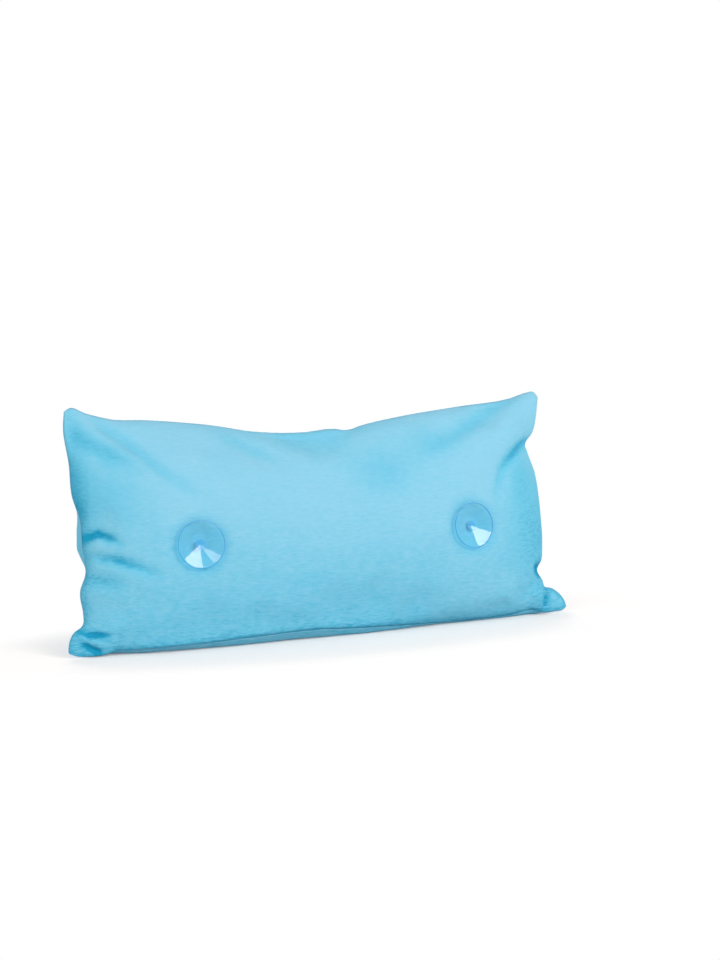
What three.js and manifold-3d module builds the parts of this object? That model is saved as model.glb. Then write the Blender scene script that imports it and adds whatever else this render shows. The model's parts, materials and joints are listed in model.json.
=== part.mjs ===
// Bath pillow: a stuffed plush cushion that stands on its long edge, with two clear suction cups on its front.
// Millimetres, +Z up. The cups face -Y, +X is to the right as seen from the front,
// and the origin is in the middle of the flat base that the cushion stands on.

import * as THREE from 'three';
import { mergeVertices } from 'three/addons/utils/BufferGeometryUtils.js';
import Module from 'manifold-3d';

const wasm = await Module();
wasm.setup();

// Seam outline, measured in the plane of the seam, which leans back
const bottomWidth = 452;
const topWidth = 430;
const seamHeight = 195;
const leanBackDegrees = 10;
const topSag = 28;
const sideDrawIn = 13;
const bottomLift = 7.5;
const cornerLift = 0;
const cornerRounding = 3;
const baseSetback = 14;
const footForward = 7;
const seamForward = 14;

// Stuffed form: how far each panel swells from the seam plane, and how far its belly slumps towards the floor
const frontCrown = 33;
const rearCrown = 46;
const frontSlump = 5;
const rearSlump = 40;

// Relief of the front panel: a dent under the top seam, and a ridge with a trough over it from each top corner
const dentDepth = 11;
const ridgeHeight = 9;
const troughDepth = 6;

// Sewn layers
const coverWall = 2.2;
const linerWall = 1;
const layerGap = 0.4;
const seamGap = 0.3;
const threadDiameter = 0.7;
const threadClearance = 0.3;

// Cup seats on the front panel
const cupPitch = 242;
const cupHeight = 80.5;
const seatDimple = 5.5;
const seatMargin = 1;
const seatBlend = 14;
const neckHoleDiameter = 9;

// Suction cup, one moulding
const cupDiameter = 38;
const coneDepth = 5.6;
const lipWidth = 0.9;
const rimThickness = 0.9;
const bellThickness = 2.7;
const collarDiameter = 12.6;
const collarThickness = 1.6;
const neckDiameter = 5.6;
const headDiameter = 10;
const headHeight = 4;
const edgeRounding = 0.8;

// Retaining hardware behind the panel
const patchDiameter = 30;
const patchThickness = 1;
const washerDiameter = 13;
const washerThickness = 1.5;
const fitClearance = 0.3;
const rockClearance = 0.5;
const rockRelief = THREE.MathUtils.degToRad(9);
const pocketClearance = 1.5;

// Shape of the edges and the crown: higher powers keep an edge straight or a crown flat for longer
const topSagPower = 1.6;
const sideDrawPower = 5;
const bottomLiftPower = 3;
const cornerPower = 20;
const footPower = 8;
const seamForwardPower = 3;
const seamForwardReach = 0.08;
const acrossPower = 3.4;
const upPower = 2;
const crownRoundness = 0.6;
const slumpSpan = 0.7;
const slumpRise = 0.8;
const slumpPower = 1.5;

// Places of the relief on a panel that runs from -1 to 1 both ways
const dentCentre = 0.86;
const dentReachAcross = 0.22;
const dentReachUp = 0.17;
const ridgeShift = -0.08;
const troughShift = 0.2;
const foldReach = 0.16;
const foldStart = 0.35;
const foldFull = 0.75;

// Mesh density
const roundSides = 32;
const threadSides = 6;
const innerColumns = 3;
const edgeColumnShares = [0.35, 0.62, 0.82, 0.94, 1];
const bellyRowShares = [0, 0.03, 0.1, 0.24, 0.44, 0.68];
const topRowShares = [0.3, 0.57, 0.78, 0.92, 1];
const seatPasses = 30;
const tangentStep = 0.05;

// Colours
const plushBlue = 0x86d0ee;
const threadBlue = 0x7fc8e6;
const linerWhite = 0xf2f2ee;
const fibreWhite = 0xfafafa;
const clearVinyl = 0xd8eef8;
const washerWhite = 0xe6eef0;

// Directions in the leaning seam plane
const lean = THREE.MathUtils.degToRad(leanBackDegrees);
const upward = new THREE.Vector3(0, Math.sin(lean), Math.cos(lean));
const frontward = new THREE.Vector3(0, -Math.cos(lean), Math.sin(lean));

// Groove round the seam, with room for the thread
const grooveRim = threadDiameter / 2 + 2 * threadClearance;
const grooveDepth = threadDiameter + 2 * threadClearance;

// Depth of each layer inside the outer face of the cover
const linerDepth = coverWall + layerGap;
const fillingDepth = linerDepth + linerWall + layerGap;

// Heights along a cup's axis, measured outwards from the outer face of its seat
const patchFront = -coverWall - fitClearance;
const patchBack = patchFront - patchThickness;
const washerFront = patchBack - rockClearance;
const washerBack = washerFront - washerThickness;
const headFront = washerBack - fitClearance;
const headBack = headFront - headHeight;
const pocketFloor = headBack - pocketClearance;
const seatHalf = patchDiameter / 2 + seatMargin;

// Seam outline
function halfWidthAt(v) {
  const straight = THREE.MathUtils.lerp(bottomWidth, topWidth, (v + 1) / 2) / 2;
  return straight - sideDrawIn * (1 - Math.abs(v) ** sideDrawPower);
}

function bottomSeamAt(u) {
  return cornerLift + bottomLift * (1 - Math.abs(u) ** bottomLiftPower);
}

function topSeamAt(u) {
  return seamHeight - topSag * (1 - Math.abs(u) ** topSagPower);
}

// A place in the seam plane: u runs across and v runs up, both from -1 to 1, and inset draws the outline in
function planeAt(u, v, inset) {
  const rounding = cornerRounding * Math.abs(u * v) ** cornerPower;
  const low = bottomSeamAt(u) + inset;
  const high = topSeamAt(u) - inset;
  return {
    across: u * (halfWidthAt(v) - inset) - Math.sign(u) * rounding,
    up: THREE.MathUtils.lerp(low, high, (v + 1) / 2) - Math.sign(v) * rounding,
  };
}

// The belly pushes the lower part of the cushion forward, and the bottom seam most of all
function forwardAt(place) {
  const side = Math.min(Math.abs(place.across) / (bottomWidth / 2), 1);
  const height = Math.max(place.up - bottomSeamAt(side), 0) / seamHeight;
  const foot = footForward * (1 - height) * (1 - side ** footPower);
  const seam = seamForward * Math.exp(-height / seamForwardReach) * (1 - side ** seamForwardPower);
  return foot + seam;
}

// From seam-plane sizes to a point, kept above the floor by its layer's depth
function standingPoint(across, up, out, forward, floorLevel) {
  const point = new THREE.Vector3(across, -baseSetback - forward, 0);
  point.addScaledVector(upward, up);
  point.addScaledVector(frontward, out);
  point.z = Math.max(point.z, floorLevel);
  return point;
}

// Stuffed form of one panel: facing is 1 for the front and -1 for the rear
function crownAcross(u) {
  return (1 - Math.abs(u) ** acrossPower) ** crownRoundness;
}

function crownUp(v) {
  return (1 - Math.abs(v) ** upPower) ** crownRoundness;
}

function slumpAt(v) {
  const share = Math.min((v + 1) / slumpSpan, 1);
  return Math.sin(Math.PI * share ** slumpRise) ** slumpPower;
}

function reliefAt(u, v) {
  const side = Math.abs(u);
  const away = (distance, reach) => Math.exp(-((distance / reach) ** 2));
  const dent = -dentDepth * away(side, dentReachAcross) * away(v - dentCentre, dentReachUp);
  const ridge = ridgeHeight * away(v - side - ridgeShift, foldReach);
  const trough = -troughDepth * away(v - side - troughShift, foldReach);
  return dent + (ridge + trough) * THREE.MathUtils.smoothstep(side, foldStart, foldFull);
}

function skinPoint(u, v, facing, depth, rim) {
  const place = planeAt(u, v, depth);
  const crown = facing > 0 ? frontCrown : rearCrown;
  const slump = facing > 0 ? frontSlump : rearSlump;
  const edge = seamGap / 2 + rim;
  const relief = facing > 0 ? reliefAt(u, v) : 0;
  const out = edge + (crown + relief - depth - edge) * crownAcross(u) * crownUp(v);
  const up = place.up - slump * slumpAt(v) * crownAcross(u);
  return standingPoint(place.across, up, facing * out, forwardAt(place), depth);
}

// Seat of a cup: a flat place that follows the crown and is drawn in by the neck
const seatPlace = (() => {
  const place = { u: cupPitch / bottomWidth, v: 0 };
  for (let pass = 0; pass < seatPasses; pass += 1) {
    const low = bottomSeamAt(place.u);
    const high = topSeamAt(place.u);
    place.v = (2 * (cupHeight - low)) / (high - low) - 1;
    place.u = cupPitch / 2 / halfWidthAt(place.v);
  }
  place.halfWidth = halfWidthAt(place.v);
  place.halfHeight = (topSeamAt(place.u) - bottomSeamAt(place.u)) / 2;
  return place;
})();

function seatFor(side) {
  const at = (du, dv) => skinPoint(side * seatPlace.u + du, seatPlace.v + dv, 1, 0, 0);
  const acrossTangent = at(tangentStep, 0).sub(at(-tangentStep, 0));
  const upTangent = at(0, tangentStep).sub(at(0, -tangentStep));
  const normal = acrossTangent.cross(upTangent).normalize();
  const centre = at(0, 0).addScaledVector(normal, -seatDimple);
  return { centre, normal };
}

const seats = { '-1': seatFor(-1), 1: seatFor(1) };

// Grid lines shared by every layer: columns and rows through the seats are marked
const columns = (() => {
  const flat = seatHalf / seatPlace.halfWidth;
  const blend = (seatHalf + seatBlend) / seatPlace.halfWidth;
  const inner = seatPlace.u - blend;
  const outer = seatPlace.u + blend;
  const right = [];
  for (let i = 1; i <= innerColumns; i += 1) {
    right.push({ at: (inner * i) / innerColumns, side: 0 });
  }
  for (const shift of [-flat, 0, flat]) {
    right.push({ at: seatPlace.u + shift, side: 1 });
  }
  right.push({ at: outer, side: 0 });
  for (const share of edgeColumnShares) {
    right.push({ at: THREE.MathUtils.lerp(outer, 1, share), side: 0 });
  }
  const left = right.map(({ at, side }) => ({ at: -at, side: -side })).reverse();
  return [...left, { at: 0, side: 0 }, ...right];
})();

const rows = (() => {
  const flat = seatHalf / seatPlace.halfHeight;
  const blend = (seatHalf + seatBlend) / seatPlace.halfHeight;
  const low = seatPlace.v - blend;
  const high = seatPlace.v + blend;
  const belly = bellyRowShares.map((share) => ({ at: THREE.MathUtils.lerp(-1, low, share), seat: false }));
  const seat = [-flat, 0, flat].map((shift) => ({ at: seatPlace.v + shift, seat: true }));
  const top = topRowShares.map((share) => ({ at: THREE.MathUtils.lerp(high, 1, share), seat: false }));
  return [...belly, { at: low, seat: false }, ...seat, { at: high, seat: false }, ...top];
})();

// One layer as a grid of points: seatLevel is its height over the seat's outer face, on the front only
function layerGrid(facing, depth, rim, seatLevel) {
  return rows.map((row) => columns.map((column) => {
    const point = skinPoint(column.at, row.at, facing, depth, rim);
    if (facing > 0 && row.seat && column.side !== 0) {
      const { centre, normal } = seats[column.side];
      const height = point.clone().sub(centre).dot(normal);
      point.addScaledVector(normal, seatLevel - height);
    }
    return point;
  }));
}

// The seam all the way round, as places on the grid's border
function borderPlaces() {
  const lastRow = rows.length - 1;
  const lastColumn = columns.length - 1;
  const places = [];
  for (let c = 0; c < lastColumn; c += 1) places.push([0, c]);
  for (let r = 0; r < lastRow; r += 1) places.push([r, lastColumn]);
  for (let c = lastColumn; c > 0; c -= 1) places.push([lastRow, c]);
  for (let r = lastRow; r > 0; r -= 1) places.push([r, 0]);
  return places;
}

function seamLoop(inset, out) {
  return borderPlaces().map(([r, c]) => {
    const place = planeAt(columns[c].at, rows[r].at, inset);
    return standingPoint(place.across, place.up, out, forwardAt(place), 0);
  });
}

// Closed geometry from points and triangles, turned so that its faces point out
function closedGeometry(points, triangles) {
  let volume = 0;
  for (const [a, b, c] of triangles) {
    volume += points[a].dot(points[b].clone().cross(points[c]));
  }
  const outward = volume > 0 ? triangles : triangles.map(([a, b, c]) => [a, c, b]);
  const geometry = new THREE.BufferGeometry().setFromPoints(points);
  geometry.setIndex(outward.flat());
  geometry.computeVertexNormals();
  return geometry;
}

function ringStrip(triangles, first, second) {
  for (let i = 0; i < first.length; i += 1) {
    const next = (i + 1) % first.length;
    triangles.push([first[i], first[next], second[next]], [first[i], second[next], second[i]]);
  }
}

// Solid between two grids, whose borders are joined through the loops given.
// Each cell is split along the diagonal that runs towards the nearest corner of the cushion.
function solidBetween(outer, inner, loops) {
  const points = [];
  const triangles = [];
  const middleColumn = (columns.length - 1) / 2;
  const middleRow = (rows.length - 1) / 2;
  const addPoint = (point) => points.push(point) - 1;
  const addGrid = (grid, outward) => {
    const index = grid.map((row) => row.map(addPoint));
    for (let r = 0; r + 1 < rows.length; r += 1) {
      for (let c = 0; c + 1 < columns.length; c += 1) {
        const [a, b, d, e] = [index[r][c], index[r][c + 1], index[r + 1][c], index[r + 1][c + 1]];
        const rising = (c < middleColumn) === (r < middleRow);
        const halves = rising ? [[a, b, e], [a, e, d]] : [[a, b, d], [b, e, d]];
        triangles.push(...(outward ? halves : halves.map(([p, q, s]) => [p, s, q])));
      }
    }
    return borderPlaces().map(([r, c]) => index[r][c]);
  };
  const rings = [addGrid(outer, true)];
  for (const loop of loops) {
    rings.push(loop.map(addPoint));
  }
  rings.push(addGrid(inner, false));
  for (let i = 0; i + 1 < rings.length; i += 1) {
    ringStrip(triangles, rings[i + 1], rings[i]);
  }
  return closedGeometry(points, triangles);
}

// Cutting one closed geometry by others
function toManifold(geometry) {
  const bare = geometry.clone();
  bare.deleteAttribute('normal');
  bare.deleteAttribute('uv');
  const merged = mergeVertices(bare);
  const vertProperties = new Float32Array(merged.attributes.position.array);
  const triVerts = new Uint32Array(merged.index.array);
  return new wasm.Manifold(new wasm.Mesh({ numProp: 3, vertProperties, triVerts }));
}

function cutBy(geometry, cutters) {
  let solid = toManifold(geometry);
  for (const cutter of cutters) {
    solid = solid.subtract(toManifold(cutter));
  }
  const mesh = solid.getMesh();
  const cut = new THREE.BufferGeometry();
  cut.setAttribute('position', new THREE.BufferAttribute(mesh.vertProperties, 3));
  cut.setIndex(new THREE.BufferAttribute(mesh.triVerts, 1));
  cut.computeVertexNormals();
  return cut;
}

function piece(name, geometry, color, roughness) {
  const mesh = new THREE.Mesh(geometry, new THREE.MeshStandardMaterial({ color, roughness, metalness: 0 }));
  mesh.name = name;
  return mesh;
}

// Plush cover: two panels with a thread groove round the seam, and a hole in the front one for each neck
function seatFrame(side) {
  const turn = new THREE.Quaternion().setFromUnitVectors(new THREE.Vector3(0, 0, 1), seats[side].normal);
  return new THREE.Matrix4().compose(seats[side].centre, turn, new THREE.Vector3(1, 1, 1));
}

function neckHole(side) {
  const radius = neckHoleDiameter / 2;
  const hole = new THREE.CylinderGeometry(radius, radius, 4 * coverWall, roundSides);
  return hole.rotateX(Math.PI / 2).applyMatrix4(seatFrame(side));
}

function coverPanel(facing) {
  const outer = layerGrid(facing, 0, grooveRim, 0);
  const inner = layerGrid(facing, coverWall, 0, -coverWall);
  const groove = seamLoop(grooveDepth, (facing * seamGap) / 2);
  return solidBetween(outer, inner, [groove]);
}

function linerPanel(facing) {
  const outer = layerGrid(facing, linerDepth, 0, pocketFloor);
  const inner = layerGrid(facing, linerDepth + linerWall, 0, pocketFloor - linerWall);
  return solidBetween(outer, inner, []);
}

function fillingBody() {
  const front = layerGrid(1, fillingDepth, 0, pocketFloor - linerWall - layerGap);
  const rear = layerGrid(-1, fillingDepth, 0, 0);
  return solidBetween(front, rear, []);
}

// Seam thread: one closed loop that lies in the groove between the panels
function threadLoop() {
  const radius = threadDiameter / 2;
  const centres = seamLoop(radius, 0);
  const points = [];
  const rings = centres.map((centre, i) => {
    const before = centres[(i + centres.length - 1) % centres.length];
    const after = centres[(i + 1) % centres.length];
    const along = after.clone().sub(before).normalize();
    const sideways = new THREE.Vector3().crossVectors(along, frontward).normalize();
    return Array.from({ length: threadSides }, (_, k) => {
      const angle = (2 * Math.PI * k) / threadSides;
      const point = centre.clone();
      point.addScaledVector(sideways, radius * Math.cos(angle));
      point.addScaledVector(frontward, radius * Math.sin(angle));
      return points.push(point) - 1;
    });
  });
  const triangles = [];
  rings.forEach((ring, i) => ringStrip(triangles, ring, rings[(i + 1) % rings.length]));
  return closedGeometry(points, triangles);
}

// Turned pieces: profiles are radius and height along the cup's axis
function turned(profile) {
  const points = profile.map(([radius, height]) => new THREE.Vector2(radius, height));
  return new THREE.LatheGeometry(points, roundSides).rotateX(Math.PI / 2);
}

function suctionCup() {
  const rimRadius = cupDiameter / 2;
  const neckRadius = neckDiameter / 2;
  const headRadius = headDiameter / 2;
  const collarRadius = collarDiameter / 2;
  const collarEdge = rockClearance + (collarRadius - neckRadius) * Math.tan(rockRelief);
  const apex = rockClearance + bellThickness;
  const lip = apex + coneDepth;
  return turned([
    [0, headBack],
    [headRadius - 2 * edgeRounding, headBack],
    [headRadius - 0.6 * edgeRounding, headBack + 0.6 * edgeRounding],
    [headRadius, headBack + 2 * edgeRounding],
    [headRadius, headFront - edgeRounding],
    [headRadius - edgeRounding, headFront],
    [neckRadius, headFront],
    [neckRadius, rockClearance],
    [collarRadius, collarEdge],
    [collarRadius, collarEdge + collarThickness],
    [rimRadius, lip - rimThickness],
    [rimRadius, lip],
    [rimRadius - lipWidth, lip],
    [0, apex],
  ]);
}

function backingPatch() {
  const outer = patchDiameter / 2;
  const inner = neckHoleDiameter / 2;
  return turned([
    [inner, patchBack],
    [outer, patchBack],
    [outer, patchFront],
    [inner, patchFront],
    [inner, patchBack],
  ]);
}

function retainingWasher() {
  const outer = washerDiameter / 2;
  const inner = neckDiameter / 2 + fitClearance;
  const dish = (outer - inner) * Math.tan(rockRelief);
  return turned([
    [inner, washerBack],
    [outer, washerBack],
    [outer, washerFront - dish],
    [inner, washerFront],
    [inner, washerBack],
  ]);
}

function cupAssembly(name, side) {
  const group = new THREE.Group();
  seatFrame(side).decompose(group.position, group.quaternion, group.scale);
  group.add(piece(`${name}_suction_cup`, suctionCup(), clearVinyl, 0.1));
  group.add(piece(`${name}_backing_patch`, backingPatch(), plushBlue, 0.95));
  group.add(piece(`${name}_retaining_washer`, retainingWasher(), washerWhite, 0.4));
  return group;
}

const bathPillow = new THREE.Group();
bathPillow.add(piece('cover_front_panel', cutBy(coverPanel(1), [neckHole(-1), neckHole(1)]), plushBlue, 0.95));
bathPillow.add(piece('cover_rear_panel', coverPanel(-1), plushBlue, 0.95));
bathPillow.add(piece('seam_thread', threadLoop(), threadBlue, 0.8));
bathPillow.add(piece('liner_front', linerPanel(1), linerWhite, 0.9));
bathPillow.add(piece('liner_rear', linerPanel(-1), linerWhite, 0.9));
bathPillow.add(piece('filling_core', fillingBody(), fibreWhite, 1));
bathPillow.add(cupAssembly('left', -1));
bathPillow.add(cupAssembly('right', 1));

export default bathPillow;
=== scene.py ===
import json
import math

import bmesh
import bpy
import numpy as np
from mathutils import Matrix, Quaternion, Vector, noise


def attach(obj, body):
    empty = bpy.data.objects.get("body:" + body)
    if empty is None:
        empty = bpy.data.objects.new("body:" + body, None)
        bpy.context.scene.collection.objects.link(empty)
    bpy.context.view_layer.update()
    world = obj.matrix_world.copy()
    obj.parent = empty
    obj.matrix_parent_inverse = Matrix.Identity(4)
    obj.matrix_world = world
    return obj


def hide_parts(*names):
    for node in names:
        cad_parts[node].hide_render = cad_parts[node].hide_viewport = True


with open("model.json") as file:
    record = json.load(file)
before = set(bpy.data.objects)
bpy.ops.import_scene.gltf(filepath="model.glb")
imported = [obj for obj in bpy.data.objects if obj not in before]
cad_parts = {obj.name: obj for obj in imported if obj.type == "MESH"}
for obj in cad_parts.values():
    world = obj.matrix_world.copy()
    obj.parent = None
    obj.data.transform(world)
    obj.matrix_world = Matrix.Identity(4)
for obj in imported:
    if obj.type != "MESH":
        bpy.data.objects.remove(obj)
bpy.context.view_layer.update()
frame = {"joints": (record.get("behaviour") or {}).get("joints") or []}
scene = bpy.context.scene

# Sizes are in millimetres, and turn into metres when a mesh is made
MM = 0.001

# The seam lies in a plane that leans back from this foot line
LEAN = math.radians(10)
UPWARD = np.array([0, math.sin(LEAN), math.cos(LEAN)])
FRONTWARD = np.array([0, -math.cos(LEAN), math.sin(LEAN)])
SEAM_FOOT = np.array([0, -14.0, 0])

# Seam outline as places across and up in that plane, with how far each stands forward of it
TOP_EDGE = [
    (-213, 190.5, 0), (-209, 193, 0), (-196, 188.5, 0), (-175, 183, 0), (-148, 181.4, 0), (-123, 179, 0),
    (-88, 174.5, 0), (-60, 169.2, 0), (-12, 166.3, 0), (16, 168, 0), (28, 166.6, 0), (42, 170, 0),
    (78, 176, 0), (137, 182.7, 0), (188, 188.2, 0), (203, 192.2, 0), (210, 192.9, 0), (214.5, 188.5, 0),
]
LEFT_EDGE = [
    (-222.8, 3.5, 1), (-222.5, 8, 1), (-218.5, 18, 1), (-210, 24.5, 1), (-208.8, 35, 0), (-210, 50, 0),
    (-204.4, 64.5, 0), (-206, 86, 0), (-206.5, 108, 0), (-211, 124, 0), (-212, 150, 0), (-214.5, 178, 0),
    (-213, 190.5, 0),
]
RIGHT_EDGE = [
    (224.6, 4, 3), (223.5, 8.5, 3), (219, 15, 3), (211, 20.8, 3), (205, 22.5, 2), (203, 29.5, 1),
    (199.3, 37.5, 0), (203, 46, 0), (205, 58, 0), (205, 86, 0), (203, 121, 0), (197.6, 148.5, 0),
    (205, 157, 0), (211, 172, 0), (214.5, 188.5, 0),
]
# The bottom seam: along, how far it lies in front of the foot line, and its height over the floor
BOTTOM_EDGE = [
    (-222.8, 2, 3.6), (-217, 3, 0.8), (-199, 8, 0.6), (-187, 9, 3.8), (-177, 12, 4.2), (-155, 18, 5.3),
    (-114, 20, 6), (-74, 21, 7.8), (-19, 21, 8.8), (11, 20, 7), (47, 17, 5), (80, 12, 2.8), (110, 8, 1.2),
    (150, 6, 1), (172, 6, 2.4), (186, 6, 5), (198, 8, 1.4), (212, 5, 0.8), (221, 3.5, 1.5),
    (224.6, 2.5, 4.4),
]
# The plain sheet that the edges shape: how its bottom lies, and the heights along its top
PLAIN_FORWARD = 7
PLAIN_BOTTOM = 2.5
PLAIN_TOP = [
    (-213, 188), (-150, 181.5), (-90, 174), (-40, 168), (0, 166.6), (40, 169), (90, 177), (150, 184),
    (214.5, 190),
]
# Share of the sheet over which an edge's own shape fades out
EDGE_REACH = 0.08

# Stuffed form: crown, and the slump of the belly towards the floor
FRONT_CROWN = 32.5
REAR_CROWN = 46
FRONT_SLUMP = 3
REAR_SLUMP = 40
SLUMP_SPAN = 0.7
SLUMP_RISE = 0.8
SLUMP_POWER = 1.5
ACROSS_POWER = 3.4
UP_POWER = 2
ROUNDNESS = 0.6
# The front slumps further towards its right end: by how much, and between which shares of the way
RIGHT_SLUMP = 6
RIGHT_SLUMP_SPAN = (0.1, 0.5)
# The rear panel rolls forward under the bottom seam before it lies on the floor
ROLL = 12
ROLL_SPAN = 0.5
ROLL_RISE = 0.45
# Rounding where the cloth meets the floor, and how far the rounded cloth is let down again
FLOOR_ROUNDING = 3
FLOOR_SETTLING = 0.25

# Sewn layers
SEAM_RIM = 0.5
PLUSH_WALL = 2.2
PLUSH_EDGE_WALL = 0.3
WALL_GROWTH = 0.5
BAG_WALL = 1
LAYER_GAP = 0.4
BAG_MARGIN = 12
FOLD_REACH = 5
THREAD_RADIUS = 0.35
THREAD_PLY = 0.06
THREAD_LAY = 2.4
THREAD_SIDES = 8

# Grid over a panel: cells for the simulation, and how much finer the finished cloth is
GRID_COLUMNS = 90
GRID_ROWS = 40
FINER = 3
EDGE_CROWDING = 0.6

# Cloth simulation, where the seam and what lies lower than the held height stay in place
SIM_FRAMES = 20
SIM_QUALITY = 6
SIM_MASS = 0.2
SIM_BENDING = 4
SIM_PRESSURE = 0.4
SIM_HELD_HEIGHT = 0.5
SIM_SPARE_CLOTH = 0.004
SIM_CAP = 2
DRIFT_FADE = 26

# Folds of the front: sharpness, width and painted shade that deepens the pile's colour, then places across
# and up with heights
FRONT_FOLDS = {
    "top left ridge": (2, 5, 0, [
        (-207, 188, 0.5), (-199, 177, 1.4), (-178, 159, 1.9), (-154, 137, 1.2), (-136, 122, 0)]),
    "top left upper trough": (2, 5.5, 0.8, [
        (-192, 185, -0.5), (-184, 176, -1.4), (-163, 159, -1.7), (-143, 137, -1.3), (-118, 119, -0.7),
        (-98, 110, 0)]),
    "top left lower trough": (2, 8, 1, [
        (-212, 182, -0.8), (-205, 171, -1.8), (-194, 162, -2), (-183, 154, -1.8), (-168, 147, -0.8),
        (-156, 139, 0)]),
    "top middle fold": (2, 6, 0.85, [(-94, 167, -0.4), (-78, 161, -1.2), (-58, 151, -1.2), (-38, 140, 0)]),
    "left arch fold": (1.4, 3.6, 1, [
        (-206, 88.5, -1.1), (-203.5, 91.5, -3), (-198, 94, -3.8), (-189.5, 90, -3), (-184, 86.5, -1.5),
        (-177, 82, 0)]),
    "left arch roll": (2, 6, 0, [(-206, 83, 0.6), (-196, 83, 1.4), (-182, 78, 0)]),
    "left long fold": (1.4, 4, 0.85, [
        (-201, 77, -0.8), (-195, 74.5, -2.3), (-186.5, 73, -3.3), (-174, 68, -2.7), (-162, 62.5, -1.5),
        (-149, 57, 0)]),
    "left long roll": (2, 7, 0, [(-205, 68, 0.6), (-188, 65, 1.5), (-172, 59, 1.1), (-155, 51, 0)]),
    "left low fold": (1.8, 5, 0.85, [
        (-206, 60.5, -0.7), (-200, 58.5, -1.7), (-189, 55.6, -1.4), (-176, 52, 0)]),
    "left ear fold": (1.4, 3, 1, [(-214, 19.5, -1), (-208, 17.5, -3.6), (-200, 17, -3.6), (-190, 16, 0)]),
    "left ear crease": (1.4, 2.8, 1, [
        (-216, 13, -0.5), (-209, 7.5, -3.4), (-203, 3.5, -3.4), (-199, 1.5, -0.5)]),
    "left ear roll": (2, 4, 0, [(-216, 16.5, 0.4), (-208, 12.5, 1.2), (-200, 9.5, 0.8)]),
    "top right ridge": (2, 13, 0, [
        (209, 189, 0.7), (192, 178, 2.4), (164, 158, 2.8), (139, 141, 2.5), (117, 122, 1.4), (85, 102, 0)]),
    "top right trough": (2, 7, 0.95, [
        (192, 191, -0.3), (178, 186, -1.2), (149, 172, -1.7), (121, 158, -1.4), (95, 147, -0.7),
        (72, 136, 0)]),
    "top right crease": (1.4, 4.5, 0.65, [
        (198.5, 149, -2.4), (191, 148, -4.2), (176, 141, -3.8), (163, 132, -2.9), (156, 124, -2.2),
        (147, 104, -0.8), (145, 84, 0)]),
    "right pinch": (1.6, 4, 0.9, [(200, 37.5, -2), (196, 41, -4), (187, 46.5, 0)]),
    "right low fold": (2, 7, 0.1, [(200, 32.5, -1.5), (190, 31, -3), (178, 26.7, -2.6), (160, 22.5, 0)]),
    "right ear fold": (1.6, 4, 0.55, [(204, 23, -1), (201, 17, -3), (199, 8, -2), (196, 4, 0)]),
    "top dent": (2, 11, 0.25, [
        (-52, 166, -0.8), (-32, 163, -3), (-8, 157, -4.4), (12, 159, -4), (30, 165, -0.8)]),
    "top dent lip": (2, 9, 0, [(-40, 146, 0), (-20, 141, 0.8), (4, 139, 1), (24, 145, 0)]),
}
# Folds of the rear, in the same columns
REAR_FOLDS = {
    "left bulge": (2, 13, 0, [(-199, 66, 0), (-199, 84, 5), (-199, 100, 4), (-200, 118, 0)]),
    "top left diagonal": (2, 9, 0.3, [(-200, 182, -2), (-176, 160, -3), (-140, 132, 0)]),
    "top right diagonal": (2, 9, 0.3, [(204, 184, -2), (180, 162, -3), (146, 136, 0)]),
    "right long fold": (1.4, 5, 0.5, [
        (197.5, 148, -2.6), (187, 144, -3.8), (168, 131, -2.6), (146, 113, 0)]),
    "left long fold": (1.4, 5, 0.5, [(-206, 58, -3), (-190, 60, -3.8), (-168, 65, -2.2), (-140, 72, 0)]),
    "left low fold": (1.4, 5, 0.4, [(-208, 36, -2), (-194, 38, -2.6), (-172, 43, -1.4), (-150, 47, 0)]),
    "right low fold": (1.4, 5, 0.5, [(199.5, 38, -2.6), (190, 42, -3.6), (170, 51, -2.2), (146, 60, 0)]),
    "top dent": (2, 15, 0.1, [(-50, 164, -2), (-10, 158, -4), (36, 164, -2)]),
}
# Folds fade out this near the seam, and paint their full shade into the pile from this depth
FOLD_FADE = 4
FULL_SHADE_DEPTH = 4

# Patches of painted shade where the pile lies the other way, one painted paler: across, up, reach across,
# reach up, amount
PILE_PATCHES = [
    (45, 130, 30, 20, 0.34),
    (92, 152, 22, 14, 0.22),
    (176, 122, 13, 20, 0.25),
    (188, 85, 32, 46, 0.42),
    (197, 16, 9, 12, 0.2),
    (130, 25, 60, 25, -0.16),
    (-208, 128, 9, 52, 0.42),
    (-188, 122, 26, 28, 0.32),
    (-160, 95, 22, 28, 0.12),
]
# Painted shade, darker towards the bottom of a panel: from this height down, by this amount at the bottom
LOW_SHADE_TOP = 115
FRONT_LOW_SHADE = 0.4
REAR_LOW_SHADE = 0.32
# Painted shade along the front's seam, up to the heights between which that ends
SEAM_SHADE = 0.25
SEAM_SHADE_REACH = 5
SEAM_SHADE_END = (150, 180)
# Painted shade under and round each cup, out to the radii between which that ends
SEAT_SHADE = 0.28
SEAT_SHADE_END = (17, 29)
# The pile is streakier at the floor than at this height in metres, where this share of the streaks is left
STREAKS_TOP = 0.13
STREAKS_LEFT = 0.4

# Uneven stuffing and pile over the whole cover: size of a lump and its height
LUMPS = [(55, 0.9), (22, 0.35), (7, 0.12)]

# Cup seats: flat under the collar, then rising clear of the rocking bell until the stuffed form is met
SEAT_FLAT = 6.5
SEAT_RISE = 0.4
SEAT_ROUNDING = 1.5
SEAT_REACH = 40
NECK_HOLE_RADIUS = 3.4

# Heights along a cup's axis, outwards from the outer face of its seat
PATCH_FRONT = -2.5
PATCH_BACK = -3.5
WASHER_FRONT = -4
WASHER_BACK = -5.5
HEAD_FRONT = -5.8
HEAD_BACK = -9.8
POCKET_FLOOR = -11.3
COLLAR_FOOT = 0.5
CONE_APEX = 3.2
LIP_PLANE = 8.8

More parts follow.
